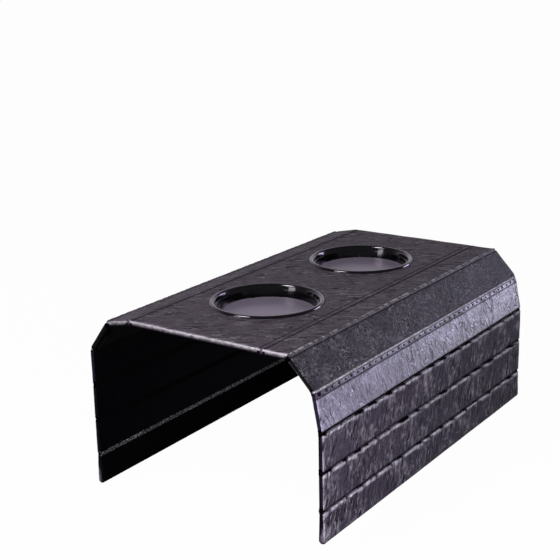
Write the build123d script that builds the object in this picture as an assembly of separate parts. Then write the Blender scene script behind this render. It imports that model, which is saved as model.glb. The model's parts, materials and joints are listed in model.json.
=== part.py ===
from build123d import *
import math
import os

# Sofa arm tray: a flat centre panel with two drop-in cup dishes lies on the arm of a sofa,
# and a chain of stiff slats, joined by sewn seams that fold, hangs down on each side.
# Millimetres, +Z up. The origin is the middle of the centre panel's underside,
# which lies on the arm. Y runs along the seams and the near end is at -Y.

# Overall sizes, laid flat and measured from seam to seam
length = 363.0
centre_width = 134.4
strip_width = 25.0
slat_width = 32.3
hem_slat_width = 28.2

# Layers of every panel
leather = 0.8
board_thickness = 2.9
lining_thickness = 0.8

# Sewn seams between the panels
fold_gap = 3.0
web_thickness = 1.2
bead_radius = 0.8
seam_clearance = 0.3
seam_end_inset = 1.2

# Rounding of a panel and the turned-under hem at its two ends
top_edge_radius = 1.6
end_hem = 9.0
board_corner_clip = 3.0

# The lowest slat swells towards its lower edge, where a steel rod keeps the flap hanging straight
hem_edge_thickness = 6.4
hem_end_bevel = 1.2

# Lapped seam along the top of slat B: a stitched lap and the groove where it ends
lap_width = 3.0
lap_groove_width = 1.2
lap_groove_depth = 0.5

# How far each panel leans below the level, in degrees, from the centre panel outwards
right_lean = (0.0, 47.0, 79.0, 90.0, 90.0, 90.0)
left_lean = (12.0, 53.0, 90.0, 90.0, 90.0, 90.0)

# Cup dishes
cup_spacing = 157.0
dish_opening_radius = 45.8
flange_width = 4.2
flange_height = 2.0
flange_edge_bevel = 0.7
dish_wall = 1.6
dish_depth = 11.0
dish_floor_thickness = 1.5
ledge_depth = 4.8
ledge_width = 1.9
upper_wall_draft = 0.4
lower_wall_draft = 1.2
dish_clearance = 0.4

# One overrun serves every cut
overrun = 5.0

# Worked out from the sizes above
panel_thickness = leather + board_thickness + lining_thickness
half_thickness = panel_thickness / 2
half_gap = fold_gap / 2
tongue_start = bead_radius + seam_clearance
seam_length = length - 2 * seam_end_inset
board_length = length - 2 * leather
lining_length = length - 2 * end_hem
rod_radius = hem_edge_thickness / 2 - leather
flange_radius = dish_opening_radius + flange_width
seat_radius = dish_opening_radius + dish_wall + dish_clearance
board_hole_radius = seat_radius + leather

slat_names = ("strip", "slat_a", "slat_b", "slat_c", "slat_d", "slat_e")
widths = (strip_width, slat_width, slat_width, slat_width, slat_width, hem_slat_width)


def block(x_from, x_to, y_size, z_from, z_to):
    """A box given by its limits across and in height, centred along the seams."""
    middle = Pos((x_from + x_to) / 2, 0, (z_from + z_to) / 2)
    return middle * Box(x_to - x_from, y_size, z_to - z_from)


def padded_block(x_from, x_to, z_from, z_to):
    """The outer form of a leather-wrapped panel, its top edges rolled over the board."""
    form = block(x_from, x_to, length, z_from, z_to)
    return fillet(form.faces().sort_by(Axis.Z)[-1].edges(), top_edge_radius)


def board_block(x_from, x_to, z_from):
    """A stiff board whose corners are clipped so that the leather folds round them."""
    form = block(x_from, x_to, board_length, z_from, z_from + board_thickness)
    return chamfer(form.edges().filter_by(Axis.Z), board_corner_clip)


def layers(x_from, x_to, z_from):
    """Cover, board and lining of one panel: the cover wraps the board and turns under at the ends."""
    board = board_block(x_from + leather, x_to - leather, z_from + lining_thickness)
    lining = block(x_from + leather, x_to - leather, lining_length, z_from, z_from + lining_thickness)
    cover = padded_block(x_from, x_to, z_from, z_from + panel_thickness) - board - lining
    return {"cover": cover, "board": board, "lining": lining}


def tongue():
    """The cover's edge that reaches into a seam, up to the bead on the fold's axis."""
    return block(tongue_start, half_gap + leather, seam_length, -web_thickness / 2, web_thickness / 2)


def seam():
    """A sewn seam: a web from the inner panel's edge to a bead that lies on the fold's axis."""
    web = block(-half_gap, 0, seam_length, -web_thickness / 2, web_thickness / 2)
    bead = Rot(90, 0, 0) * Cylinder(bead_radius, seam_length)
    return web + bead


def swollen_form(width, inset, y_size):
    """The lowest slat's section, thickest at its round lower edge, run along the seams."""
    edge_radius = hem_edge_thickness / 2 - inset
    top_thickness = board_thickness + 2 * (leather - inset)
    top = Pos(half_gap + inset + edge_radius / 2, 0) * Rectangle(edge_radius, top_thickness)
    end = Pos(width - hem_edge_thickness / 2, 0) * Circle(edge_radius)
    section = make_hull((top + end).edges())
    return extrude(Plane.XZ * section, y_size / 2, both=True)


def hem_slat(width):
    """The lowest slat: its cover goes round the rod at the lower edge and up the inside to the seam."""
    form = swollen_form(width, 0, length)
    form = chamfer(form.faces().filter_by(Axis.Y).edges(), hem_end_bevel)
    hollow = swollen_form(width, leather, board_length)
    board_end = width - hem_edge_thickness + leather
    board = board_block(half_gap + leather, board_end, -board_thickness / 2)
    rod = Pos(width - hem_edge_thickness / 2, 0, 0) * Rot(90, 0, 0) * Cylinder(rod_radius, board_length)
    return {"cover": form - hollow, "board": board, "hem_rod": rod}


def lap_groove():
    """The groove along the lower side of the stitched lap."""
    lap_end = half_gap + lap_width
    groove_floor = half_thickness - lap_groove_depth
    return block(lap_end, lap_end + lap_groove_width, length, groove_floor, half_thickness + overrun)


def centre_panel():
    """The centre panel with the two round seats for the dishes."""
    half = centre_width / 2 - half_gap
    pieces = layers(-half, half, 0)
    for y in (-cup_spacing / 2, cup_spacing / 2):
        middle = Pos(0, y, panel_thickness / 2)
        seat = middle * Cylinder(seat_radius, panel_thickness + overrun)
        hole = middle * Cylinder(board_hole_radius, panel_thickness + overrun)
        rim = middle * (Cylinder(board_hole_radius, panel_thickness) - Cylinder(seat_radius, panel_thickness))
        pieces["board"] -= hole
        pieces["lining"] -= hole
        pieces["cover"] = pieces["cover"] - seat + rim
    return pieces


def cup_dish():
    """A round dish: a raised flange, a ledge half way down its wall, a flat floor, a plain cone outside."""
    top = panel_thickness + flange_height
    ledge = top - ledge_depth
    floor = top - dish_depth
    ledge_outer = dish_opening_radius - upper_wall_draft
    ledge_inner = ledge_outer - ledge_width
    floor_radius = ledge_inner - lower_wall_draft
    underside = floor - dish_floor_thickness
    corners = [
        (0, underside),
        (floor_radius + dish_wall, underside),
        (dish_opening_radius + dish_wall, panel_thickness),
        (flange_radius, panel_thickness),
        (flange_radius, top),
        (dish_opening_radius, top),
        (ledge_outer, ledge),
        (ledge_inner, ledge),
        (floor_radius, floor),
        (0, floor),
    ]
    section = make_face(Polyline(corners, close=True))
    for rim_corner in ((flange_radius, top), (dish_opening_radius, top)):
        section = chamfer(section.vertices().sort_by_distance(rim_corner)[0], flange_edge_bevel)
    return revolve(Plane.XZ * section, Axis.Z)


def flap(lean):
    """The chain of panels on the right of the centre panel, folded down by the given angles."""
    pieces = {}
    x = centre_width / 2
    z = half_thickness
    pieces["seam_strip"] = Pos(x, 0, z) * seam()
    for step, name in enumerate(slat_names):
        width = widths[step]
        place = Pos(x, 0, z) * Rot(0, lean[step], 0)
        last = step == len(slat_names) - 1
        parts = hem_slat(width) if last else layers(half_gap, width - half_gap, -half_thickness)
        parts["cover"] += tongue()
        if name == "slat_b":
            parts["cover"] -= lap_groove()
        for layer, solid in parts.items():
            node = layer if layer == "hem_rod" else name + "_" + layer
            pieces[node] = place * solid
        x += width * math.cos(math.radians(lean[step]))
        z -= width * math.sin(math.radians(lean[step]))
        if not last:
            next_seam = "seam_" + slat_names[step + 1][-1]
            pieces[next_seam] = place * Pos(width, 0, 0) * seam()
    return pieces


def all_pieces():
    """Every node of the tray by its name."""
    pieces = {"centre_" + layer: solid for layer, solid in centre_panel().items()}
    for name, solid in flap(right_lean).items():
        pieces["right_" + name] = solid
    for name, solid in flap(left_lean).items():
        pieces["left_" + name] = mirror(solid, about=Plane.YZ)
    pieces["cup_dish_front"] = Pos(0, -cup_spacing / 2, 0) * cup_dish()
    pieces["cup_dish_rear"] = Pos(0, cup_spacing / 2, 0) * cup_dish()
    return pieces


os.makedirs("parts", exist_ok=True)
for node, solid in all_pieces().items():
    export_step(solid, f"parts/{node}.step")
    print(node, round(solid.volume, 1))
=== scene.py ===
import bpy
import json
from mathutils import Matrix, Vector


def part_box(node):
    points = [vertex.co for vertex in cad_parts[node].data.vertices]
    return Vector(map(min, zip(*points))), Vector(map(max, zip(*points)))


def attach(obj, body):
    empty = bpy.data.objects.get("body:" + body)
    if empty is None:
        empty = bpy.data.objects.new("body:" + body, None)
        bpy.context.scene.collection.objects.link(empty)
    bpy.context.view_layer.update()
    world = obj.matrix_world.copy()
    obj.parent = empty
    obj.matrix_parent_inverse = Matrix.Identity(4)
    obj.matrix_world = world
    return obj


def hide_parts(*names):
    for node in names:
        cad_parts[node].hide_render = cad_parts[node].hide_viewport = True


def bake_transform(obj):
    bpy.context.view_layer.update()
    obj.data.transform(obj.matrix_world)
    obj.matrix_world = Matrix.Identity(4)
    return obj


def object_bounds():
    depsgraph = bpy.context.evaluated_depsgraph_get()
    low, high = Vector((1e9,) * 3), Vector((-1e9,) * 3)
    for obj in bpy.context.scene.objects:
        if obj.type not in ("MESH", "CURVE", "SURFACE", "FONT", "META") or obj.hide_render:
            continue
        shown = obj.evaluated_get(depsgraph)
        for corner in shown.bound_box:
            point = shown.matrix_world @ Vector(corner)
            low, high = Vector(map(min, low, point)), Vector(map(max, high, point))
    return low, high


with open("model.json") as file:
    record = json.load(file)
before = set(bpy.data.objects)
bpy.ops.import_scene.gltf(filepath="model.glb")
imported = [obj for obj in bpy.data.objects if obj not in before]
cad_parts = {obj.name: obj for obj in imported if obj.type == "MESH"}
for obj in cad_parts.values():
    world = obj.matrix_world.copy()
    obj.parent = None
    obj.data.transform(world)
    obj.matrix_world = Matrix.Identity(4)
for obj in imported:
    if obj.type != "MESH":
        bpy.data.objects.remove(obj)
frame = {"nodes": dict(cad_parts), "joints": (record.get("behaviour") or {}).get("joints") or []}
cad_box = [list(corner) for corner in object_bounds()]

import json
import math

import bpy
from mathutils import Matrix, Vector, noise

# Sofa arm tray: leather-wrapped slats on sewn seams, two gloss dishes, a black lining.
# Lengths are in metres, written as millimetres times MM.
MM = 0.001
TOLERANCE = MM / 10

# The tray along its seams and the thickness of its panels, as the frame has them
cover_low, cover_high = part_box("centre_cover")
LENGTH = cover_high.y - cover_low.y
THICKNESS = cover_high.z - cover_low.z
END = LENGTH / 2
TOP = THICKNESS / 2

# Panels: PANEL_EDGE and HALF_GAP are from a fold's axis to the leather in the scene and in the frame
PANEL_EDGE = 1.2 * MM
HALF_GAP = 1.5 * MM
ROLL_TOP = 1.5 * MM
ROLL_END = 2.0 * MM
HEM_LENGTH = 9.0 * MM
HEM_END_BEVEL = 1.2 * MM
LINING = 0.8 * MM
STEP_ALONG = 1.0 * MM
STEP_ACROSS = 1.1 * MM
STEP_CENTRE = 4.0 * MM
WAVE_HEIGHT = 0.25 * MM
SEAT_INSET = 2.2 * MM
CUTTER_DEPTH = 30 * MM

# Gathers and lips below the seam lines of painted shade, which bite into the lips between two gathers
GATHER_PITCH = 4.2 * MM
GATHER_HEIGHT = 0.45 * MM
LIP_WIDTH = 3.6 * MM
LIP_HEIGHT = 0.5 * MM
LIP_END = 3.0 * MM
BITE_DEPTH = 2.0 * MM
BITE_START = 0.5 * MM
LINE_FADE = 0.5 * MM
LINE_SINK = 0.5 * MM

# Stitched lap below the second fold, puffed up between its stitches, with a line of painted shadow under it
LAP_WIDTH = 3.0 * MM
LAP_PUFF = 0.25 * MM
LAP_LINE = 0.9 * MM
STITCH_PITCH = 9.3 * MM
STITCH_LENGTH = 2.8 * MM
STITCH_RADIUS = 1.15 * MM
STITCH_DEPTH = 0.5 * MM

# Shade at the upper edge of the sloping slat and at the lower edges of the others
SLOPE_SHADE = 1.1 * MM
TUCK_SHADE = 0.7 * MM

# Seam strips: how wide their leather is, and how high it lies over the fold's axis
SEAM_STEPS = 14
SEAM_HALF_WIDTH = 2.6 * MM
SEAM_THICKNESS = 0.5 * MM
SEAM_FLANK = 0.9 * MM
SEAM_END = 2.5 * MM
INNER_FACE = -2.1 * MM
CHANNEL_HALF_WIDTH = 4.0 * MM
CHANNEL_HEIGHT = 2.5 * MM
CHANNEL_LINE = 2.57 * MM
CHANNEL_LINE_SPREAD = 0.95 * MM
CHANNEL_TUCK = 1.5 * MM
CHANNEL_TUCK_FROM = 3.3 * MM
RIDGE_RADIUS = 1.7 * MM
RIDGE_HEIGHT = 3.0 * MM
DASH_LENGTH = 2.6 * MM
DASH_HEIGHT = 0.3 * MM
LINE_RADIUS = 2.1 * MM
LINE_HEIGHT = 2.55 * MM
GROOVE_HEIGHT = -0.3 * MM
GROOVE_RISE = 1.5 * MM
GROOVE_FADE = 0.3 * MM
RAW_EDGE_WIDTH = 2.2 * MM
RAW_EDGE_HEIGHT = 0.5 * MM
RAW_EDGE_LIFT = 0.3 * MM

# Cup dish: radii from its opening to its floor, and depths from its top
DISH_OPENING = 45.8 * MM
LEDGE_OUTER = 44.6 * MM
LEDGE_INNER = 43.5 * MM
FLOOR_RADIUS = 42.3 * MM
LEDGE_DEPTH = 4.8 * MM
FLOOR_DEPTH = 11.0 * MM
DISH_WALL = 1.6 * MM
RIM_ROUNDING = 1.95 * MM
SOFT_EDGE = 0.5 * MM

# Panels and seams of a flap, from the centre outwards
PANELS = ("strip", "slat_a", "slat_b", "slat_c", "slat_d", "slat_e")
SURFACES = ("strip", "slope", "lapped", "gathered", "gathered", "gathered")
SEAMS = ("channel", "ridge", "line", "groove", "groove", "groove")
DISHES = ("cup_dish_front", "cup_dish_rear")

# Creases of each kind of surface: their height, pitch and lean, and how light their crests are painted, as wear
# and painted highlight
CREASES = {
    "centre": (0.05 * MM, 7.0 * MM, 0.7, 0.0),
    "strip": (0.06 * MM, 6.0 * MM, 0.7, 0.0),
    "slope": (0.10 * MM, 5.0 * MM, 0.5, 0.1),
    "lapped": (0.18 * MM, 6.0 * MM, -0.25, 0.2),
    "gathered": (0.20 * MM, 4.5 * MM, 0.3, 0.2),
}

# What makes a ramp node start and end smoothly
SMOOTH = {"interpolation_type": "SMOOTHSTEP"}


def linear(code):
    """An sRGB hex colour as linear red, green, blue and alpha."""
    channels = [int(code[i:i + 2], 16) / 255 for i in (1, 3, 5)]
    return [c / 12.92 if c <= 0.04045 else ((c + 0.055) / 1.055) ** 2.4 for c in channels] + [1.0]


def add(tree, kind, inputs=None, out=0, **settings):
    """Adds a node with its settings and gives one of its outputs, or the node itself where out is None.

    An input is a value or the output that feeds it."""
    node = tree.nodes.new("ShaderNode" + kind)
    for name, value in settings.items():
        setattr(node, name, value)
    for key, value in (inputs or {}).items():
        if isinstance(value, bpy.types.NodeSocket):
            tree.links.new(value, node.inputs[key])
        else:
            node.inputs[key].default_value = value
    return node if out is None else node.outputs[out]


def new_material(name):
    """An empty node material with its node tree."""
    material = bpy.data.materials.new(name)
    material.use_nodes = True
    material.node_tree.nodes.clear()
    return material, material.node_tree


def line_at(tree, field, level, width):
    """Thin lines along a field's level, one on the line and zero away from it."""
    offset = add(tree, "Math", {0: field, 1: level}, operation="SUBTRACT")
    distance = add(tree, "Math", {0: offset}, operation="ABSOLUTE")
    return add(tree, "MapRange", {"Value": distance, "From Max": width, "To Min": 1.0, "To Max": 0.0}, **SMOOTH)


def leather(name, tones, pitch, run, roughness, light, dark, relief, gloss):
    """Finished synthetic leather: pebble grain, and wrinkles painted as a light crest beside a dark cut, a
    painted highlight beside painted shade.

    tones are its colours on the flat, where it is worn and where it carries a painted highlight, and in painted
    shade. pitch is the distance between wrinkles, which lie along the axis that run lengthens. light says how
    much the painted highlights on the crests show, and dark how much the painted shade in the cuts and furrows
    and the dark joints of the grain show.
    The mesh says where the leather is lighter, by wear and by painted highlight, and where it is darker, by
    painted shade and its own darker tone."""
    base, light_and_highlight_tone, dark_and_shade_tone = (linear(tone) for tone in tones)
    stretch, turn = run
    material, tree = new_material(name)
    place = add(tree, "TexCoord", out="Object")
    # Wrinkles sway over about 17 mm (60 to the metre)
    sway = add(tree, "TexNoise", {"Vector": place, "Scale": 60.0, "Detail": 2.0}, out="Color")
    offset = add(tree, "VectorMath", {0: sway, 1: (0.5, 0.5, 0.5)}, operation="SUBTRACT")
    push = add(tree, "VectorMath", {0: offset, "Scale": 1.2 * pitch}, operation="SCALE")
    swayed = add(tree, "VectorMath", {0: place, 1: push}, operation="ADD")
    lain = add(tree, "Mapping", {"Vector": swayed, "Rotation": turn, "Scale": stretch}, vector_type="TEXTURE")
    wrinkle = add(tree, "TexNoise", {"Vector": lain, "Scale": 1 / pitch, "Detail": 2.5, "Roughness": 0.5},
                  out="Fac")
    streak = add(tree, "TexNoise", {"Vector": lain, "Scale": 2.6 / pitch, "Detail": 4.0, "Roughness": 0.65},
                 out="Fac")
    # They come and go in patches of about 24 mm (42 to the metre)
    patch = add(tree, "TexNoise", {"Vector": place, "Scale": 42.0, "Detail": 2.0}, out="Fac")
    gate = add(tree, "MapRange", {"Value": patch, "From Min": 0.38, "From Max": 0.6}, **SMOOTH)
    # Along each wrinkle a line of painted highlight (crest), and beside it a line of painted shade (cut)
    crest = add(tree, "Math", {0: line_at(tree, wrinkle, 0.5, 0.035), 1: gate}, operation="MULTIPLY")
    cut = add(tree, "Math", {0: line_at(tree, wrinkle, 0.555, 0.03), 1: gate}, operation="MULTIPLY")
    # Pebble grain, drawn 1.8 mm wide, twice the real one, so that the view resolves it
    grain = add(tree, "TexVoronoi", {"Vector": place, "Scale": 1 / (1.8 * MM)}, out="Distance")

    # Painted highlights on high places: crests, and streaks in some patches
    streaky = add(tree, "MapRange", {"Value": patch, "From Min": 0.25, "From Max": 0.62, "To Max": 0.8}, **SMOOTH)
    streaks = add(tree, "MapRange", {"Value": streak, "From Min": 0.52, "From Max": 0.72}, **SMOOTH)
    streaks = add(tree, "Math", {0: streaks, 1: streaky}, operation="MULTIPLY")
    high = add(tree, "Math", {0: crest, 1: streaks}, operation="MAXIMUM")
    # Painted shade in low places, cuts and furrows between streaks; and the joints of the grain, dark in their
    # own tone
    furrows = add(tree, "MapRange", {"Value": streak, "From Min": 0.5, "From Max": 0.3}, **SMOOTH)
    joints_of_grain = add(tree, "MapRange", {"Value": grain, "From Min": 0.45, "From Max": 0.8, "To Max": 0.4},
                          **SMOOTH)
    low = add(tree, "Math", {0: cut, 1: furrows}, operation="MAXIMUM")
    low = add(tree, "Math", {0: low, 1: joints_of_grain}, operation="MAXIMUM")

    # Places half marked, by wear and by painted highlight, are ragged: the streaks decide how much of the mark is
    # left there
    light_tone_and_painted_highlight = add(tree, "Attribute", out="Fac", attribute_name="light_tone_and_painted_highlight")
    dark_tone_and_painted_shade = add(tree, "Attribute", out="Fac", attribute_name="dark_tone_and_painted_shade")
    unmarked = add(tree, "Math", {0: 1.0, 1: light_tone_and_painted_highlight}, operation="SUBTRACT")
    partly_marked = add(tree, "Math", {0: light_tone_and_painted_highlight, 1: unmarked}, operation="MULTIPLY")
    ragged = add(tree, "Math", {0: streak, 1: 10.0, 2: -5.0}, operation="MULTIPLY_ADD")
    light_and_highlight = add(tree, "Math", {0: partly_marked, 1: ragged, 2: light_tone_and_painted_highlight}, operation="MULTIPLY_ADD", use_clamp=True)

    # Crests and light marks lighten the colour as wear and painted highlight; cuts and dark marks darken it as
    # painted shade and dark tone
    crests_shown = add(tree, "Math", {0: high, 1: light}, operation="MULTIPLY")
    lightest = add(tree, "Math", {0: crests_shown, 1: light_and_highlight}, operation="MAXIMUM", use_clamp=True)
    dark_left = add(tree, "Math", {0: light_and_highlight, 1: -0.75 * dark, 2: dark}, operation="MULTIPLY_ADD")
    cuts_shown = add(tree, "Math", {0: low, 1: dark_left}, operation="MULTIPLY")
    dark_and_shade_share = add(tree, "Math", {0: cuts_shown, 1: dark_tone_and_painted_shade}, operation="MAXIMUM", use_clamp=True)
    tone = add(tree, "Mix", {0: lightest, 6: base, 7: light_and_highlight_tone}, out=2, data_type="RGBA")
    colour = add(tree, "Mix", {0: dark_and_shade_share, 6: tone, 7: dark_and_shade_tone}, out=2, data_type="RGBA")

    folds = add(tree, "Math", {0: crest, 1: cut}, operation="SUBTRACT")
    folds = add(tree, "Math", {0: folds, 1: streak}, operation="ADD")
    height = add(tree, "Math", {0: grain, 1: -0.3, 2: folds}, operation="MULTIPLY_ADD")
    bump = add(tree, "Bump", {"Height": height, "Strength": 0.9, "Distance": relief})
    # Worn places and places under a painted highlight are polished, and places in painted shade send hardly any
    # light back
    polish = add(tree, "Math", {0: light_and_highlight, 1: 0.35, 2: gloss}, operation="MULTIPLY_ADD")
    undarkened = add(tree, "Math", {0: 1.0, 1: dark_and_shade_share}, operation="SUBTRACT")
    shine = add(tree, "Math", {0: undarkened, 1: polish}, operation="MULTIPLY")
    # The plain gloss stays under the link, for a reader that follows none
    shader = add(tree, "BsdfPrincipled", {
        "Base Color": colour, "Roughness": roughness, "Normal": bump, "IOR": 1.5,
        "Specular IOR Level": gloss}, out=None)
    tree.links.new(shine, shader.inputs["Specular IOR Level"])
    add(tree, "OutputMaterial", {"Surface": shader.outputs[0]}, out=None)
    return material


def lining_cloth():
    """Black polyester lining, plain woven: almost no light comes back, only a faint weave."""
    material, tree = new_material("black polyester lining")
    place = add(tree, "TexCoord", out="Object")
    # A thread every 1.8 mm, coarser than the real cloth so that it shows: a wave is 0.314 of 5.6 mm
    warp = add(tree, "TexWave", {"Vector": place, "Scale": 1 / (5.6 * MM)}, out="Fac", bands_direction="Y")
    weft = add(tree, "TexWave", {"Vector": place, "Scale": 1 / (5.6 * MM)}, out="Fac", bands_direction="X")
    weave = add(tree, "Math", {0: warp, 1: weft}, operation="MULTIPLY")
    # Dust lies in patches of about 17 mm (60 to the metre)
    dust = add(tree, "TexNoise", {"Vector": place, "Scale": 60.0, "Detail": 6.0}, out="Fac")
    dusty = add(tree, "MapRange", {"Value": dust, "From Min": 0.45, "From Max": 0.8, "To Max": 0.5})
    colour = add(tree, "Mix", {0: dusty, 6: linear("#010102"), 7: linear("#040405")}, out=2, data_type="RGBA")
    relief = add(tree, "Bump", {"Height": weave, "Strength": 0.4, "Distance": 0.2 * MM})
    shader = add(tree, "BsdfPrincipled", {
        "Base Color": colour, "Roughness": 0.9, "Specular IOR Level": 0.02, "Normal": relief})
    add(tree, "OutputMaterial", {"Surface": shader}, out=None)
    return material


def fibreboard():
    """Hard fibreboard: pressed wood fibres, brown and matt, inside every slat."""
    material, tree = new_material("pressed fibreboard")
    place = add(tree, "TexCoord", out="Object")
    # Bundles of fibres about 2 mm long
    fibres = add(tree, "TexNoise", {"Vector": place, "Scale": 1 / (2.0 * MM), "Detail": 6.0, "Roughness": 0.7},
                 out="Fac")
    colour = add(tree, "Mix", {0: fibres, 6: linear("#6b4a2e"), 7: linear("#a07a50")}, out=2, data_type="RGBA")
    relief = add(tree, "Bump", {"Height": fibres, "Strength": 0.3, "Distance": 0.2 * MM})
    shader = add(tree, "BsdfPrincipled", {"Base Color": colour, "Roughness": 0.85, "Normal": relief})
    add(tree, "OutputMaterial", {"Surface": shader}, out=None)
    return material


def drawn_steel():
    """Cold-drawn steel rod: dull grey, with fine draw lines along it."""
    material, tree = new_material("cold-drawn steel rod")
    place = add(tree, "TexCoord", out="Object")
    # Draw lines about 1 mm apart (900 to the metre) and fifty times as long
    lengthwise = add(tree, "Mapping", {"Vector": place, "Scale": (1.0, 0.02, 1.0)})
    lines = add(tree, "TexNoise", {"Vector": lengthwise, "Scale": 900.0, "Detail": 4.0}, out="Fac")
    colour = add(tree, "Mix", {0: lines, 6: linear("#8b8b8e"), 7: linear("#b4b4b6")}, out=2, data_type="RGBA")
    dullness = add(tree, "MapRange", {"Value": lines, "To Min": 0.3, "To Max": 0.5})
    shader = add(tree, "BsdfPrincipled", {"Base Color": colour, "Roughness": dullness, "Metallic": 1.0})
    add(tree, "OutputMaterial", {"Surface": shader}, out=None)
    return material


def plastic(name, base, cloudy, roughness, mottle):
    """Injection-moulded ABS: mottle varies the gloss a little, as the polish of a mould does."""
    material, tree = new_material(name)
    place = add(tree, "TexCoord", out="Object")
    # Clouds of about 11 mm and pores of about 1 mm (90 and 900 to the metre)
    cloud = add(tree, "TexNoise", {"Vector": place, "Scale": 90.0, "Detail": 3.0}, out="Fac")
    pores = add(tree, "TexNoise", {"Vector": place, "Scale": 900.0, "Detail": 2.0}, out="Fac")
    dullness = add(tree, "MapRange", {"Value": cloud, "To Min": roughness - mottle, "To Max": roughness + mottle})
    relief = add(tree, "Bump", {"Height": pores, "Strength": 0.02, "Distance": 0.1 * MM})
    colour = add(tree, "Mix", {0: cloud, 6: linear(base), 7: linear(cloudy)}, out=2, data_type="RGBA")
    shader = add(tree, "BsdfPrincipled", {
        "Base Color": colour, "Roughness": dullness, "Normal": relief, "IOR": 1.5,
        "Specular Tint": linear("#f4eaf7")})
    add(tree, "OutputMaterial", {"Surface": shader}, out=None)
    return material


def thread(name, base, light):
    """Twisted polyester sewing thread: soft sheen, with the twist as fine slanted bands."""
    material, tree = new_material(name)
    place = add(tree, "TexCoord", out="Object")
    # A turn of the twist every 1.5 mm, coarser than the real one: a slanted wave is 0.628 of 2.4 mm
    twist = add(tree, "TexWave", {"Vector": place, "Scale": 1 / (2.4 * MM)}, out="Fac",
                bands_direction="DIAGONAL")
    colour = add(tree, "Mix", {0: twist, 6: linear(base), 7: linear(light)}, out=2, data_type="RGBA")
    relief = add(tree, "Bump", {"Height": twist, "Strength": 0.5, "Distance": 0.1 * MM})
    shader = add(tree, "BsdfPrincipled", {
        "Base Color": colour, "Roughness": 0.6, "Normal": relief, "Specular IOR Level": 0.15})
    add(tree, "OutputMaterial", {"Surface": shader}, out=None)
    return material


def shadow_floor():
    """A pale sweep: white to the camera and to reflections, with a trace of the object's shadow."""
    material, tree = new_material("pale sweep")
    path = add(tree, "LightPath", out=None)
    seen = add(tree, "Math", {0: path.outputs["Is Camera Ray"], 1: path.outputs["Is Glossy Ray"]},
               operation="MAXIMUM")
    through = add(tree, "Math", {0: seen, 1: path.outputs["Is Transmission Ray"]}, operation="MAXIMUM")
    share = add(tree, "Math", {0: through, 1: 0.98}, operation="MULTIPLY")
    matt = add(tree, "BsdfDiffuse", {"Color": linear("#a0a0a2")})
    glow = add(tree, "Emission", {"Color": linear("#ffffff"), "Strength": 1.0})
    mix = add(tree, "MixShader", {0: share, 1: matt, 2: glow})
    add(tree, "OutputMaterial", {"Surface": mix}, out=None)
    return material


def clear_selection():
    """Leaves edit mode and selects nothing."""
    if bpy.context.object and bpy.context.object.mode == "EDIT":
        bpy.ops.object.mode_set(mode="OBJECT")
    bpy.ops.object.select_all(action="DESELECT")


def start_piece(name):
    """Names the primitive that was just added and returns it, alone and active."""
    piece = bpy.context.object
    piece.name = name
    piece.data.name = name
    return piece


def apply_modifier(piece, name):
    """Applies one of a piece's modifiers to its mesh."""
    bpy.context.view_layer.objects.active = piece
    bpy.ops.object.modifier_apply(modifier=name)


def pick(piece, kind, test):
    """Selects the edges or faces in edit mode whose middle and direction or normal pass the test."""
    bpy.ops.object.mode_set(mode="EDIT")
    bpy.ops.mesh.select_mode(type="EDGE" if kind == "edge" else "FACE")
    bpy.ops.mesh.select_all(action="DESELECT")
    bpy.ops.object.mode_set(mode="OBJECT")
    mesh = piece.data
    if kind == "edge":
        for edge in mesh.edges:
            a, b = (mesh.vertices[i].co for i in edge.vertices)
            edge.select = bool(test((a + b) / 2, b - a))
    else:
        for face in mesh.polygons:
            face.select = bool(test(face.center, face.normal))
    bpy.ops.object.mode_set(mode="EDIT")


def settle(piece, place):
    """Puts a piece where the frame says and applies that to its mesh."""
    clear_selection()
    piece.select_set(True)
    bpy.context.view_layer.objects.active = piece
    piece.matrix_world = place
    bpy.ops.object.transform_apply(location=True, rotation=True, scale=True)
    bpy.ops.object.shade_smooth_by_angle(angle=math.radians(40))
    piece.select_set(False)


def lean_of(start, end):
    """How far below the level a panel leans, from the axis of one fold to the next."""
    return math.atan2(start.z - end.z, abs(end.x - start.x))


def panel_place(side, start, lean):
    """A panel's own frame: x across it, away from the centre, y along the seams, z outwards."""
    turn = Matrix.Rotation(0 if side == "right" else math.pi, 4, "Z")
    return Matrix.Translation(start) @ turn @ Matrix.Rotation(lean, 4, "Y")


def along(vector, axis):
    """Whether an edge runs along an axis."""
    return abs(vector[axis]) > 0.98 * vector.length


def ease(value, zero_at=0.0, one_at=1.0):
    """Zero at one place and beyond it, one at the other and beyond that, and smooth between."""
    share = min(1.0, max(0.0, (value - zero_at) / (one_at - zero_at)))
    return share * share * (3 - 2 * share)


def uneven(first, second, third):
    """Smooth chance values on both sides of zero, which change over one unit of each number."""
    return noise.noise(Vector((first, second, third)))


def gather(y, seed):
    """Leather drawn up between stitches: round humps with sharp dips, uneven in size."""
    wobble = uneven(y / (14 * MM), seed, 0.0)
    hump = abs(math.sin(math.pi * y / GATHER_PITCH + 1.8 * wobble))
    size = 0.85 + 0.4 * uneven(y / (6 * MM), 7.3, seed)
    return hump * size


def dip(pucker):
    """One at the bottom of the dip between two gathers, and zero on a gather."""
    return ease(pucker, 0.6875, 0.0625)


def crease(x, y, pitch, lean, seed):
    """Creases of folded leather that run across a panel: zero in the folds and one on the crests."""
    u = (y + lean * x) / pitch
    v = x / (4.5 * pitch)
    bend = uneven(0.35 * u, v, seed + 11.0)
    first = uneven(u + 1.3 * bend, v, seed)
    second = uneven(2.1 * u + bend, 2.0 * v, seed + 5.0)
    crest = max(0.0, 1.0 - 2.4 * abs(first))
    return min(1.0, 0.7 * crest * crest + 0.45 * max(0.0, second + 0.25))


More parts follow.
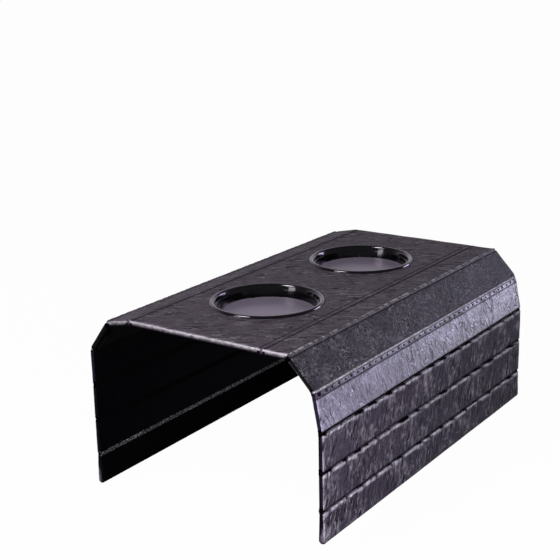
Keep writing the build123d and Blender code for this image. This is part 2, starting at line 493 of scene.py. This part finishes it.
def surface(kind, width, seed):
    """The leather of one panel: its height over the plain form, its wear and painted highlight, and its painted
    shade.
    """
    height, pitch, lean, light = CREASES[kind]
    level = kind in ("centre", "strip")

    def at(x, y):
        below_edge = x - PANEL_EDGE
        to_end = END - abs(y)
        calm = uneven(x / (16 * MM), y / (28 * MM), seed)
        lively = 0.25 + 0.75 * ease(0.5 + 1.6 * uneven(x / (20 * MM), y / (26 * MM), seed + 20.0))
        crest = crease(x, y, pitch, lean, seed) * lively
        rise = WAVE_HEIGHT * calm + height * crest
        # Crests are lighter: wear, and a painted highlight
        light_tone_and_painted_highlight = light * ease(1.5 * crest - 0.25)
        dark_tone_and_painted_shade = 0.0
        if level:
            # The waves die out beside the stitched-down seams
            from_seam = (width - abs(x) if kind == "centre" else x) - PANEL_EDGE
            rise *= ease(from_seam, 1.5 * MM, 5.5 * MM)
        elif kind == "slope":
            # Painted shadow at the upper edge, under the ridge
            dark_tone_and_painted_shade = math.exp(-below_edge / SLOPE_SHADE)
        elif kind == "gathered":
            pucker = gather(y + 0.5 * x, seed)
            lip = LIP_WIDTH * (0.7 + 0.4 * pucker + 0.7 * uneven(x / (2 * MM), y / (3 * MM), seed + 3.0))
            near = ease(below_edge, 1.25 * lip, 0.25 * lip)
            # The seam's black line, painted shade, bites into the lip between two gathers
            bite = BITE_DEPTH * dip(pucker) - BITE_START
            dark_tone_and_painted_shade = ease(below_edge, bite + LINE_FADE, bite)
            swell = LIP_HEIGHT + GATHER_HEIGHT * (pucker - 0.5)
            rise += near * swell * ease(to_end, 0.0, LIP_END) - LINE_SINK * dark_tone_and_painted_shade
            # The lips are lighter, a painted highlight on their gathers
            light_tone_and_painted_highlight = max(light_tone_and_painted_highlight, near * (0.3 + 0.45 * pucker))
        elif kind == "lapped":
            below_lap = below_edge - LAP_WIDTH
            if below_lap < 0:
                # The lap is drawn down at its stitches; painted shade darkens it all over, more at the stitches
                # and more at the near end
                puff = abs(math.sin(math.pi * y / STITCH_PITCH))
                rise = LAP_PUFF * (puff - 1)
                light_tone_and_painted_highlight = 0.0
                dark_tone_and_painted_shade = 0.3 + 0.7 * ease(1 - 1.7 * puff) + 0.4 * ease(y + END, 32 * MM, 14 * MM)
            # A line of painted shadow under the lap
            dark_tone_and_painted_shade = max(dark_tone_and_painted_shade, ease(abs(below_lap - LAP_LINE), 1.12 * MM, 0.42 * MM))
        if kind in ("gathered", "lapped"):
            # Painted shade along the lower edge, where the leather turns under
            if x > width / 2:
                tuck = math.exp(-max(0.0, width - PANEL_EDGE - x) / TUCK_SHADE)
                dark_tone_and_painted_shade = max(dark_tone_and_painted_shade, min(1.0, 1.3 * tuck))
            if below_edge > LAP_WIDTH:
                # The rims at the ends are painted a little lighter, a painted highlight
                light_tone_and_painted_highlight = max(light_tone_and_painted_highlight, 0.25 * ease(to_end, 1.68 * MM, 0.28 * MM))
        return rise, light_tone_and_painted_highlight, dark_tone_and_painted_shade
    return at


def press_surface(piece, at, rolled_ends, inner_rim=0.0, bright_edge=False):
    """Moves the outer leather of a panel to its surface and marks its wear, painted highlights and painted shade.

    A slat's ends are painted black as shade, with a light line at the inner edge where inner_rim says so. The
    level panels' ends are rolled tubes with a painted highlight, which rolled_ends says. bright_edge leaves the
    painted shade off the lower edge."""
    light_and_highlight_marks, dark_and_shade_marks = [], []
    middle = sum(corner[0] for corner in piece.bound_box) / 8
    for vertex in piece.data.vertices:
        x, y, z = vertex.co
        rise, light_tone_and_painted_highlight, dark_tone_and_painted_shade = at(x, y)
        outer = ease(z, 0.0, TOP - ROLL_TOP)
        vertex.co.z += rise * outer
        to_end = END - abs(y)
        depth = TOP - z
        if rolled_ends:
            # A painted highlight on the tube at the end, painted shade behind it and under it
            tube = ease(to_end, 1.12 * MM, 0.32 * MM) * ease(depth, 1.6 * MM, 0.6 * MM)
            behind_tube = ease(abs(to_end - 2.8 * MM), 1.68 * MM, 0.48 * MM)
            under_tube = ease(depth, 1.32 * MM, 1.92 * MM)
            light_tone_and_painted_highlight = max(light_tone_and_painted_highlight * outer, 0.9 * tube)
            dark_tone_and_painted_shade = max(dark_tone_and_painted_shade * outer, under_tube, 0.45 * behind_tube * outer)
        else:
            # Painted shade, black over the end and past the rolled edges, but for the light inner line
            end = ease(to_end, 2.4 * MM, 1.4 * MM)
            past_roll = ease(depth, 0.9 * MM, 1.4 * MM)
            face = ease(to_end, 1.04 * MM, 0.24 * MM) * past_roll
            inner_line = face * inner_rim * ease(z + TOP, 0.8 * MM, 0.4 * MM)
            lower_edge_light = bright_edge and x > middle
            dark = max(end * ease(depth, 0.35 * MM, 0.85 * MM), 0.0 if lower_edge_light else past_roll)
            light_tone_and_painted_highlight = max(light_tone_and_painted_highlight * ease(depth, 2.0 * MM, 1.5 * MM), inner_line)
            dark_tone_and_painted_shade = max(dark_tone_and_painted_shade * outer, dark) * (1 - inner_line)
        light_and_highlight_marks.append(light_tone_and_painted_highlight)
        dark_and_shade_marks.append(dark_tone_and_painted_shade)
    mark(piece, light_and_highlight_marks, dark_and_shade_marks)


def mark(piece, light_tone_and_painted_highlight, dark_tone_and_painted_shade):
    """Stores each vertex's light tone and painted highlight, and its dark tone and painted shade, for the leather
    to read.
    """
    for name, values in (("light_tone_and_painted_highlight", light_tone_and_painted_highlight), ("dark_tone_and_painted_shade", dark_tone_and_painted_shade)):
        layer = piece.data.attributes.new(name, "FLOAT", "POINT")
        layer.data.foreach_set("value", values)


def wrapped_panel(name, width_from, width_to, step_across):
    """A board wrapped in leather: rolled edges and a hem turned under at each end."""
    clear_selection()
    width = width_to - width_from
    bpy.ops.mesh.primitive_cube_add(size=1.0, location=((width_from + width_to) / 2, 0.0, LINING / 2),
                                    scale=(width, LENGTH, THICKNESS - LINING))
    piece = start_piece(name)
    bpy.ops.object.transform_apply(location=True, rotation=False, scale=True)
    # The hems: the underside is cut across near both ends, and its end fields go down past the lining
    for y in (END - HEM_LENGTH, HEM_LENGTH - END):
        pick(piece, "face", lambda c, n: n.z < -0.9)
        bpy.ops.mesh.bisect(plane_co=(0.0, y, 0.0), plane_no=(0.0, 1.0, 0.0))
    pick(piece, "face", lambda c, n: n.z < -0.9 and abs(c.y) > END - HEM_LENGTH)
    bpy.ops.mesh.extrude_region_move(TRANSFORM_OT_translate={"value": (0.0, 0.0, -LINING)})
    # The leather rolls over the board's ends, and less over its long edges
    pick(piece, "edge",
         lambda m, d: along(d, 0) and abs(m.y) > END - TOLERANCE and abs(m.z) > TOP - TOLERANCE)
    bpy.ops.mesh.bevel(offset=ROLL_END, segments=4, affect="EDGES", clamp_overlap=True)
    pick(piece, "edge", lambda m, d: along(d, 1) and m.z > TOP - TOLERANCE)
    bpy.ops.mesh.bevel(offset=ROLL_TOP, segments=3, affect="EDGES", clamp_overlap=True)
    # Faces small enough for its wrinkles
    pick(piece, "edge", lambda m, d: along(d, 1) and d.length > END)
    bpy.ops.mesh.subdivide(number_cuts=int(LENGTH / STEP_ALONG))
    pick(piece, "edge", lambda m, d: along(d, 0) and d.length > width - 3 * ROLL_TOP)
    bpy.ops.mesh.subdivide(number_cuts=max(2, int(width / step_across)))
    bpy.ops.object.mode_set(mode="OBJECT")
    return piece


def hem_slat_piece(name, width, edge_thickness):
    """The lowest slat: thin at its seam, swelling to a round lower edge."""
    clear_selection()
    middle = (PANEL_EDGE + width) / 2
    bpy.ops.mesh.primitive_cube_add(size=1.0, location=(middle, 0.0, 0.0),
                                    scale=(width - PANEL_EDGE, LENGTH, edge_thickness))
    piece = start_piece(name)
    bpy.ops.object.transform_apply(location=True, rotation=False, scale=True)
    for vertex in piece.data.vertices:
        if vertex.co.x < middle:
            vertex.co.z *= THICKNESS / edge_thickness
    # Round at the lower edge, rolled at the upper one and bevelled at the ends
    pick(piece, "edge", lambda m, d: along(d, 1) and m.x > middle)
    bpy.ops.mesh.bevel(offset=edge_thickness * 0.47, segments=5, affect="EDGES", clamp_overlap=True)
    pick(piece, "edge", lambda m, d: along(d, 1) and m.x < middle)
    bpy.ops.mesh.bevel(offset=ROLL_TOP * 0.8, segments=3, affect="EDGES", clamp_overlap=True)
    pick(piece, "edge", lambda m, d: abs(m.y) > END - TOLERANCE and not along(d, 1))
    bpy.ops.mesh.bevel(offset=HEM_END_BEVEL, segments=3, affect="EDGES", clamp_overlap=True)
    # Faces small enough for its wrinkles
    pick(piece, "edge", lambda m, d: along(d, 1) and d.length > END)
    bpy.ops.mesh.subdivide(number_cuts=int(LENGTH / STEP_ALONG))
    pick(piece, "edge", lambda m, d: d.length > width / 2 and abs(d.y) < MM)
    bpy.ops.mesh.subdivide(number_cuts=int(width / STEP_ACROSS))
    bpy.ops.object.mode_set(mode="OBJECT")
    return piece


def seam_profile(kind, across, y, seed):
    """Height of a seam's leather over the fold's axis, its light tone and painted highlight, and its dark tone
    and painted shade.
    """
    to_end = END - abs(y)
    pinch = ease(to_end, 0.0, SEAM_END)
    if kind == "channel":
        # A flat band between two stitched-down lines of painted shade, which goes down over the rolled ends
        line = math.exp(-((abs(across) - CHANNEL_LINE) / CHANNEL_LINE_SPREAD) ** 2)
        tuck = CHANNEL_TUCK * ease(abs(across), CHANNEL_TUCK_FROM, CHANNEL_HALF_WIDTH)
        drop = ROLL_END - math.sqrt(ROLL_END ** 2 - max(0.0, ROLL_END - to_end) ** 2)
        return CHANNEL_HEIGHT - tuck - drop, 0.0, line
    if kind == "ridge":
        # A round fold between two flanks of painted shade, with dashes of painted highlight on its crown
        dome = max(0.0, 1 - (across / RIDGE_RADIUS) ** 2) * pinch
        crown = ease(abs(across + 0.2 * MM), 0.55 * MM, 0.3 * MM)
        dash = ease(0.5 + 2.0 * uneven(y / DASH_LENGTH, across / (3 * MM), seed + 9.0))
        lift = SEAM_FLANK + (RIDGE_HEIGHT - SEAM_FLANK) * dome + DASH_HEIGHT * dome * dash
        return lift, 0.42 * crown * dash, max(1 - ease(2.2 * dome), 0.4 * (1 - dash))
    if kind == "line":
        # A low fold with a fine painted highlight on its crown and light painted shade beside it
        patchy = ease(0.5 + 1.8 * uneven(y / (2.4 * MM), across / (1.2 * MM), seed))
        dome = max(0.0, 1 - (across / LINE_RADIUS) ** 2) * pinch
        crown = ease(abs(across - 0.1 * MM), 0.576 * MM, 0.336 * MM)
        lift = SEAM_FLANK + (LINE_HEIGHT - SEAM_FLANK) * dome
        return lift, (0.3 + 0.35 * patchy) * crown, 0.3 * (1 - crown)
    if kind == "raw":
        # The brushed cut edge of the leather, on the inside
        dome = 1 - (across / RAW_EDGE_WIDTH) ** 2
        fuzz = uneven(y / (0.9 * MM), across / (0.7 * MM), seed)
        swell = RAW_EDGE_HEIGHT * dome * (0.5 + gather(1.6 * y, seed) + 0.7 * fuzz)
        return RAW_EDGE_LIFT - TOP - swell, ease(0.1 + 1.3 * fuzz), ease(0.2 - 1.3 * fuzz)
    # A groove of painted shade, and below it the drawn-in upper edge of the next slat, lighter as a painted
    # highlight
    pucker = gather(y + 0.5 * across, seed)
    start = (1.5 - 0.5 * pucker) * MM
    edge = ease(across, start, start + GROOVE_FADE) * pinch
    lift = GROOVE_HEIGHT + GROOVE_RISE * (edge + 1 - pinch)
    return lift, edge * (0.15 + 0.45 * pucker), max(1 - edge, dip(pucker))


def seam_strip(name, kind, side, axis, leans, seed):
    """The sewn leather between two panels with the given leans, bent from the one lean to the other."""
    raw = kind == "raw"
    half_width = {"raw": RAW_EDGE_WIDTH, "channel": CHANNEL_HALF_WIDTH}.get(kind, SEAM_HALF_WIDTH)
    clear_selection()
    bpy.ops.mesh.primitive_grid_add(x_subdivisions=SEAM_STEPS, y_subdivisions=int(LENGTH / STEP_ALONG), size=1.0)
    piece = start_piece(name)
    piece.scale = (2 * half_width, LENGTH, 1.0)
    bpy.ops.object.transform_apply(location=False, rotation=False, scale=True)
    light_and_highlight_marks, dark_and_shade_marks, inner_face = [], [], []
    for vertex in piece.data.vertices:
        across, y, _ = vertex.co
        lift, light_tone_and_painted_highlight, dark_tone_and_painted_shade = seam_profile(kind, across, y, seed)
        light_and_highlight_marks.append(light_tone_and_painted_highlight)
        dark_and_shade_marks.append(dark_tone_and_painted_shade)
        bent = leans[0] + (leans[1] - leans[0]) * ease(across, -PANEL_EDGE, PANEL_EDGE)
        place = panel_place(side, axis, bent)
        vertex.co = place @ Vector((across, y, lift))
        inner_face.append(place @ Vector((across, y, INNER_FACE)))
    solid = piece.modifiers.new("thickness", "SOLIDIFY")
    solid.thickness = SEAM_THICKNESS
    solid.offset = 1.0 if raw else -1.0
    apply_modifier(piece, "thickness")
    if raw:
        light_and_highlight_marks *= 2
        dark_and_shade_marks *= 2
    else:
        # The seam fills the whole gap: its inner face lies level with the lining, black as that
        for vertex, place in zip(piece.data.vertices[len(inner_face):], inner_face):
            vertex.co = place
        light_and_highlight_marks += [0.0] * len(inner_face)
        dark_and_shade_marks += [1.0] * len(inner_face)
    mark(piece, light_and_highlight_marks, dark_and_shade_marks)
    bpy.ops.object.shade_smooth()
    return piece


def stitch_row(name, place):
    """The lap's row of flattened stitches, each dipping into its needle holes."""
    clear_selection()
    bpy.ops.mesh.primitive_uv_sphere_add(segments=8, ring_count=6, radius=1.0, location=(0.0, 0.0, 0.0),
                                         rotation=(math.pi / 2, 0.0, 0.0))
    piece = start_piece(name)
    bpy.ops.object.transform_apply(location=False, rotation=True, scale=False)
    count = int((LENGTH - 2 * STITCH_PITCH) / STITCH_PITCH)
    pick(piece, "face", lambda c, n: True)
    bpy.ops.transform.resize(value=(STITCH_RADIUS, STITCH_LENGTH / 2, STITCH_RADIUS))
    bpy.ops.transform.translate(value=(PANEL_EDGE + LAP_WIDTH / 2, -(count - 1) * STITCH_PITCH / 2,
                                       TOP - STITCH_DEPTH))
    bpy.ops.object.mode_set(mode="OBJECT")
    row = piece.modifiers.new("row", "ARRAY")
    row.use_relative_offset = False
    row.use_constant_offset = True
    row.constant_offset_displace = (0.0, STITCH_PITCH, 0.0)
    row.count = count
    apply_modifier(piece, "row")
    settle(piece, place)
    return piece


def dish(name):
    """A cup dish with its flange, stepped wall and flat floor, and the height of that floor."""
    low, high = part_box(name)
    outer = (high.x - low.x) / 2
    top = high.z
    panel_top = cover_high.z
    y = (low.y + high.y) / 2
    clear_selection()
    bpy.ops.mesh.primitive_cylinder_add(vertices=160, radius=outer, depth=top - panel_top,
                                        location=(0.0, y, (top + panel_top) / 2))
    piece = start_piece(name + "_moulding")
    bpy.ops.object.transform_apply(location=True, rotation=False, scale=False)

    def ring(radius_now, radius_next, drop):
        """Extrudes the picked cap down and then inwards or outwards."""
        ratio = radius_next / radius_now
        bpy.ops.mesh.extrude_region_move(TRANSFORM_OT_translate={"value": (0.0, 0.0, drop)})
        bpy.ops.transform.resize(value=(ratio, ratio, 1.0), center_override=(0.0, y, 0.0))

    # The hollow from the flange to the floor, then the outside from the flange to the underside
    pick(piece, "face", lambda c, n: n.z > 0.9)
    ring(outer, DISH_OPENING, 0.0)
    ring(DISH_OPENING, LEDGE_OUTER, -LEDGE_DEPTH)
    ring(LEDGE_OUTER, LEDGE_INNER, 0.0)
    ring(LEDGE_INNER, FLOOR_RADIUS, LEDGE_DEPTH - FLOOR_DEPTH)
    pick(piece, "face", lambda c, n: n.z < -0.9 and c.z > panel_top - MM)
    ring(outer, DISH_OPENING + DISH_WALL, 0.0)
    ring(DISH_OPENING + DISH_WALL, FLOOR_RADIUS + DISH_WALL, low.z - panel_top)
    bpy.ops.object.mode_set(mode="OBJECT")

    def on_rim(middle, direction):
        """The two edges of the flange's top, which are rounded into a bead."""
        radius = math.hypot(middle.x, middle.y - y)
        beside = min(abs(radius - outer), abs(radius - DISH_OPENING))
        return middle.z > top - TOLERANCE and beside < MM / 3

    pick(piece, "edge", on_rim)
    bpy.ops.mesh.bevel(offset=RIM_ROUNDING, segments=5, affect="EDGES", clamp_overlap=True)
    bpy.ops.object.mode_set(mode="OBJECT")
    bpy.ops.object.shade_smooth()
    soften = piece.modifiers.new("soft edges", "BEVEL")
    soften.width = SOFT_EDGE
    soften.segments = 3
    soften.limit_method = "ANGLE"
    soften.angle_limit = math.radians(35)
    even = piece.modifiers.new("even shading", "WEIGHTED_NORMAL")
    even.weight = 50
    apply_modifier(piece, "soft edges")
    apply_modifier(piece, "even shading")
    return piece, top - FLOOR_DEPTH


# How leathers lie: the stretch and the turn of their wrinkles. Those of the level panels run aslant
# across them, and those of the flaps hang down.
LEVEL_RUN = ((7.0, 1.0, 1.0), (0.0, 0.0, math.radians(32)))
HANGING_RUN = ((1.0, 1.0, 5.0), (math.radians(-16), 0.0, 0.0))
LAPPED_RUN = ((1.0, 1.0, 4.0), (math.radians(12), 0.0, 0.0))
SLOPING_RUN = ((1.0, 1.0, 2.5), (math.radians(-20), math.radians(43), 0.0))
ANY_RUN = ((1.0, 1.0, 1.0), (0.0, 0.0, 0.0))

# Tones of each leather: its own colour, the colour of its wear and painted highlights, and that of its painted
# shade and dark tone
CENTRE_LEATHER = leather(
    "brown-black synthetic leather, level panels", ("#3b343d", "#8d8790", "#0f0c10"),
    pitch=5.0 * MM, run=LEVEL_RUN, roughness=0.5, light=0.45, dark=0.95, relief=0.7 * MM, gloss=0.06)
SLAT_LEATHER = leather(
    "blue-black synthetic leather, slats", ("#352f3d", "#b6adc0", "#0b080d"),
    pitch=7.0 * MM, run=HANGING_RUN, roughness=0.5, light=0.33, dark=0.85, relief=0.7 * MM, gloss=0.03)
# The lapped slat's base is lighter than that of the other slats: a painted sheen
LAPPED_LEATHER = leather(
    "polished synthetic leather, lapped slat", ("#484159", "#b2aac6", "#100c16"),
    pitch=7.0 * MM, run=LAPPED_RUN, roughness=0.33, light=0.4, dark=0.85, relief=0.4 * MM, gloss=1.0)
# The sloping slat's base is darker than that of the other slats: painted shade
SLOPE_LEATHER = leather(
    "blue-black synthetic leather, sloping slat", ("#1a171c", "#a29da9", "#0a090b"),
    pitch=6.5 * MM, run=SLOPING_RUN, roughness=0.48, light=0.32, dark=0.6, relief=0.5 * MM, gloss=0.15)
SEAM_LEATHER = leather(
    "synthetic leather drawn in at a seam", ("#2b272e", "#b3adb8", "#040305"),
    pitch=2.6 * MM, run=ANY_RUN, roughness=0.45, light=0.3, dark=0.3, relief=0.3 * MM, gloss=0.25)
HEM_LEATHER = leather(
    "black backing side of the leather, hems", ("#040405", "#09090a", "#040405"),
    pitch=3.0 * MM, run=ANY_RUN, roughness=0.75, light=0.3, dark=0.3, relief=0.3 * MM, gloss=0.02)
RAW_EDGE = leather(
    "grey brushed backing of the leather, raw edge", ("#2b292d", "#78757b", "#0a090b"),
    pitch=1.6 * MM, run=ANY_RUN, roughness=0.8, light=0.8, dark=0.9, relief=0.5 * MM, gloss=0.05)
LINING_CLOTH = lining_cloth()
BOARD = fibreboard()
STEEL = drawn_steel()
GLOSS_ABS = plastic("gloss black ABS", "#040405", "#070708", 0.1, 0.02)
# The dish floor's grey base is partly a painted reflection of the backdrop
SATIN_ABS = plastic("satin grey-black ABS, dish floor", "#5a5361", "#635b69", 0.3, 0.04)
THREAD = thread("black sewing thread", "#060607", "#161619")

PANEL_LEATHERS = {"strip": CENTRE_LEATHER, "slope": SLOPE_LEATHER, "lapped": LAPPED_LEATHER,
                  "gathered": SLAT_LEATHER}


def dress(piece, material):
    """Gives a piece its material."""
    piece.data.materials.clear()
    piece.data.materials.append(material)


def back_inner_side(piece, place):
    """Gives the side of a panel or seam that faces the arm the black backing of the leather."""
    piece.data.materials.append(HEM_LEATHER)
    inwards = place.to_3x3() @ Vector((0.0, 0.0, -1.0))
    for face in piece.data.polygons:
        if face.normal.dot(inwards) > 0.5:
            face.material_index = 1


def make_centre():
    """The centre panel's cover, with the two round seats cut out."""
    half = (cover_high.x - cover_low.x) / 2 + HALF_GAP - PANEL_EDGE
    piece = wrapped_panel("centre_cover_leather", -half, half, STEP_CENTRE)
    press_surface(piece, surface("centre", half, 3.0), rolled_ends=True)
    place = Matrix.Translation(Vector((0.0, 0.0, TOP)))
    settle(piece, place)
    dress(piece, CENTRE_LEATHER)
    back_inner_side(piece, place)
    for node in DISHES:
        low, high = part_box(node)
        clear_selection()
        bpy.ops.mesh.primitive_cylinder_add(
            vertices=96, radius=(high.x - low.x) / 2 - SEAT_INSET, depth=CUTTER_DEPTH,
            location=(0.0, (low.y + high.y) / 2, 0.0))
        cutter = bpy.context.object
        cut = piece.modifiers.new("seat", "BOOLEAN")
        cut.object = cutter
        cut.solver = "EXACT"
        clear_selection()
        piece.select_set(True)
        apply_modifier(piece, "seat")
        bpy.data.objects.remove(cutter, do_unlink=True)
    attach(piece, "centre_panel")
    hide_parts("centre_cover")


def make_panel(side, i, axes, leans, seed):
    """The leather of one panel of a flap."""
    panel, kind = PANELS[i], SURFACES[i]
    body = f"{side}_{panel}"
    width = (axes[i + 1] - axes[i]).length
    place = panel_place(side, axes[i], leans[i])
    name = f"{body}_cover_leather"
    if panel == "slat_e":
        low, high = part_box(f"{body}_cover")
        piece = hem_slat_piece(name, width, high.x - low.x)
    else:
        piece = wrapped_panel(name, PANEL_EDGE, width - PANEL_EDGE, STEP_ACROSS)
    # The cut edge of the leather shows at the ends of the right flap's two slanting slats
    inner_rim = 0.8 if side == "right" and kind in ("slope", "lapped") else 0.0
    press_surface(piece, surface(kind, width, seed), kind == "strip", inner_rim, bright_edge=kind == "slope")
    settle(piece, place)
    dress(piece, PANEL_LEATHERS[kind])
    back_inner_side(piece, place)
    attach(piece, body)
    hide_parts(f"{body}_cover")
    if kind == "lapped":
        stitches = stitch_row(f"{body}_lap_stitches", place)
        dress(stitches, THREAD)
        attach(stitches, body)


def make_side(side):
    """Covers, seam strips and stitches of one flap, from the fold axes of the frame."""
    folds = {joint["name"]: Vector(joint["pos_m"]) for joint in frame["joints"] if "fold" in joint["name"]}
    axes = [folds[f"{side}_{panel}_fold"] for panel in PANELS]
    lower_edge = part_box(f"{side}_slat_e_cover")[0].z
    axes.append(Vector((axes[-1].x, 0.0, lower_edge)))
    leans = [lean_of(start, end) for start, end in zip(axes, axes[1:])]
    before, parent = 0.0, "centre_panel"
    for i, panel in enumerate(PANELS):
        body = f"{side}_{panel}"
        # Each panel and the seam above it have their own seed, and so has each side
        seed = i * 3.7 + (0.0 if side == "right" else 31.0)
        make_panel(side, i, axes, leans, seed)
        seam_node = f"{side}_seam_strip" if i == 0 else f"{side}_seam_{panel[-1]}"
        half_way = panel_place(side, axes[i], (before + leans[i]) / 2)
        strip = seam_strip(f"{seam_node}_leather", SEAMS[i], side, axes[i], (before, leans[i]), seed)
        dress(strip, CENTRE_LEATHER if i == 0 else SEAM_LEATHER)
        back_inner_side(strip, half_way)
        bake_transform(strip)
        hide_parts(seam_node)
        if panel == "slat_e":
            raw = seam_strip(f"{seam_node}_raw_edge", "raw", side, axes[i], (before, leans[i]), seed + 2)
            dress(raw, RAW_EDGE)
            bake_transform(raw)
        before, parent = leans[i], body


def make_dishes():
    """Both dishes, gloss all over but for the satin floor."""
    for node in DISHES:
        piece, floor = dish(node)
        dress(piece, GLOSS_ABS)
        piece.data.materials.append(SATIN_ABS)
        for face in piece.data.polygons:
            if face.normal.z > 0.99 and abs(face.center.z - floor) < MM / 4:
                face.material_index = 1
        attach(piece, node)
        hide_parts(node)


def dress_nodes():
    """Materials of the CAD nodes: boards, rods and linings stay, the others are replaced above."""
    finishes = {"board": BOARD, "rod": STEEL, "lining": LINING_CLOTH, "cover": SLAT_LEATHER}
    for name, node in frame["nodes"].items():
        finish = GLOSS_ABS if name in DISHES else finishes.get(name.rsplit("_", 1)[1], SEAM_LEATHER)
        node.data.materials.clear()
        node.data.materials.append(finish)


# Camera, at the photograph's place: the tray's near end is towards it
AZIMUTH = math.radians(35.05)
ELEVATION = math.radians(16.23)
ROLL = math.radians(-1.26)
DISTANCE = 1078.3 * MM
FOCAL_PIXELS = 1179.1
FRAME_PIXELS = 560
SENSOR = 36.0
AIM_RIGHT = -33.43 * MM
AIM_UP = -0.70 * MM

# The level direction in which the camera looks, towards the white backdrop
BACKDROP = (-0.574, 0.819, 0.0)
FLOOR_DROP = 1.5 * MM


def make_camera():
    """The photograph's view: its direction and roll, and the place in the frame it is centred on."""
    level = math.cos(ELEVATION)
    forward = -Vector((math.sin(AZIMUTH) * level, -math.cos(AZIMUTH) * level, math.sin(ELEVATION)))
    right = forward.cross(Vector((0.0, 0.0, 1.0))).normalized()
    up = right.cross(forward)
    right_rolled = right * math.cos(ROLL) + up * math.sin(ROLL)
    up_rolled = up * math.cos(ROLL) - right * math.sin(ROLL)
    aim = Vector((0.0, 0.0, THICKNESS)) + right_rolled * AIM_RIGHT + up_rolled * AIM_UP
    data = bpy.data.cameras.new("camera")
    data.sensor_width = SENSOR
    data.lens = FOCAL_PIXELS * SENSOR / FRAME_PIXELS
    camera = bpy.data.objects.new("camera", data)
    bpy.context.collection.objects.link(camera)
    turn = Matrix((right_rolled, up_rolled, -forward)).transposed()
    camera.matrix_world = Matrix.Translation(aim - forward * DISTANCE) @ turn.to_4x4()
    bpy.context.scene.camera = camera


def make_light(name, place, aim, size, power, colour="#ffffff", mirrored=True, cast=True):
    """An area light; mirrored says whether shiny surfaces show it, and cast whether it lights matt ones."""
    data = bpy.data.lights.new(name, "AREA")
    data.shape = "RECTANGLE"
    data.size, data.size_y = size
    data.energy = power
    data.color = linear(colour)[:3]
    light = bpy.data.objects.new(name, data)
    bpy.context.collection.objects.link(light)
    light.visible_glossy = mirrored
    light.visible_diffuse = cast
    light.location = place
    light.rotation_euler = (Vector(aim) - Vector(place)).to_track_quat("-Z", "Y").to_euler()


def make_world():
    """Soft grey light all round; the camera sees white, and reflections see the white backdrop behind."""
    world = bpy.data.worlds.new("studio")
    bpy.context.scene.world = world
    world.use_nodes = True
    tree = world.node_tree
    tree.nodes.clear()
    path = add(tree, "LightPath", out=None)
    glossy = path.outputs["Is Glossy Ray"]
    way = add(tree, "TexCoord", out="Generated")
    # The backdrop's white fades out from 17 to 37 degrees above the level, and away from its middle
    rise = add(tree, "SeparateXYZ", {0: way}, out="Z")
    low = add(tree, "MapRange", {"Value": rise, "From Min": 0.3, "From Max": 0.6, "To Min": 0.95,
                                 "To Max": 0.15}, **SMOOTH)
    behind = add(tree, "VectorMath", {0: way, 1: BACKDROP}, out="Value", operation="DOT_PRODUCT")
    wide = add(tree, "MapRange", {"Value": behind, "From Min": 0.0, "From Max": 0.5, "To Min": 0.1}, **SMOOTH)
    wall = add(tree, "Math", {0: low, 1: wide}, operation="MULTIPLY")
    mirrored = add(tree, "Math", {0: glossy, 1: wall}, operation="MULTIPLY")
    direct = add(tree, "Math", {0: path.outputs["Is Camera Ray"], 1: path.outputs["Is Transmission Ray"]},
                 operation="MAXIMUM")
    seen = add(tree, "Math", {0: direct, 1: mirrored}, operation="MAXIMUM")
    soft = add(tree, "Background", {"Color": linear("#e9e9f2"), "Strength": 0.1})
    paper = add(tree, "Mix", {0: glossy, 6: linear("#ffffff"), 7: linear("#f3eaf8")}, out=2, data_type="RGBA")
    white = add(tree, "Background", {"Color": paper, "Strength": 1.0})
    mix = add(tree, "MixShader", {0: seen, 1: soft, 2: white})
    add(tree, "OutputWorld", {"Surface": mix}, out=None)


def make_stage():
    """The pale floor, the surroundings and the lights."""
    clear_selection()
    bpy.ops.mesh.primitive_plane_add(size=60.0, location=(0.0, 0.0, cad_box[0][2] - FLOOR_DROP))
    floor = start_piece("pale_floor")
    floor.data.materials.append(shadow_floor())
    make_world()
    make_light("key softbox", (-0.5, -0.9, 1.3), aim=(0.0, 0.0, 0.0), size=(0.5, 0.5), power=29.5)
    make_light("front softbox", (0.38, -0.55, 0.08), aim=(0.1, -0.1, -0.05), size=(0.2, 0.2), power=5.8,
               mirrored=False)
    make_light("low front softbox", (-0.45, -1.1, 0.12), aim=(0.0, 0.0, 0.0), size=(0.3, 0.35), power=2.4,
               cast=False)
    make_light("side strip softbox", (0.85, 1.45, 0.0), aim=(0.1, 0.1, -0.03), size=(0.6, 1.2), power=27.0,
               colour="#ddd8ff", cast=False)


make_centre()
make_side("right")
make_side("left")
make_dishes()
dress_nodes()
make_camera()
make_stage()

scene = bpy.context.scene
scene.view_settings.view_transform = "Standard"
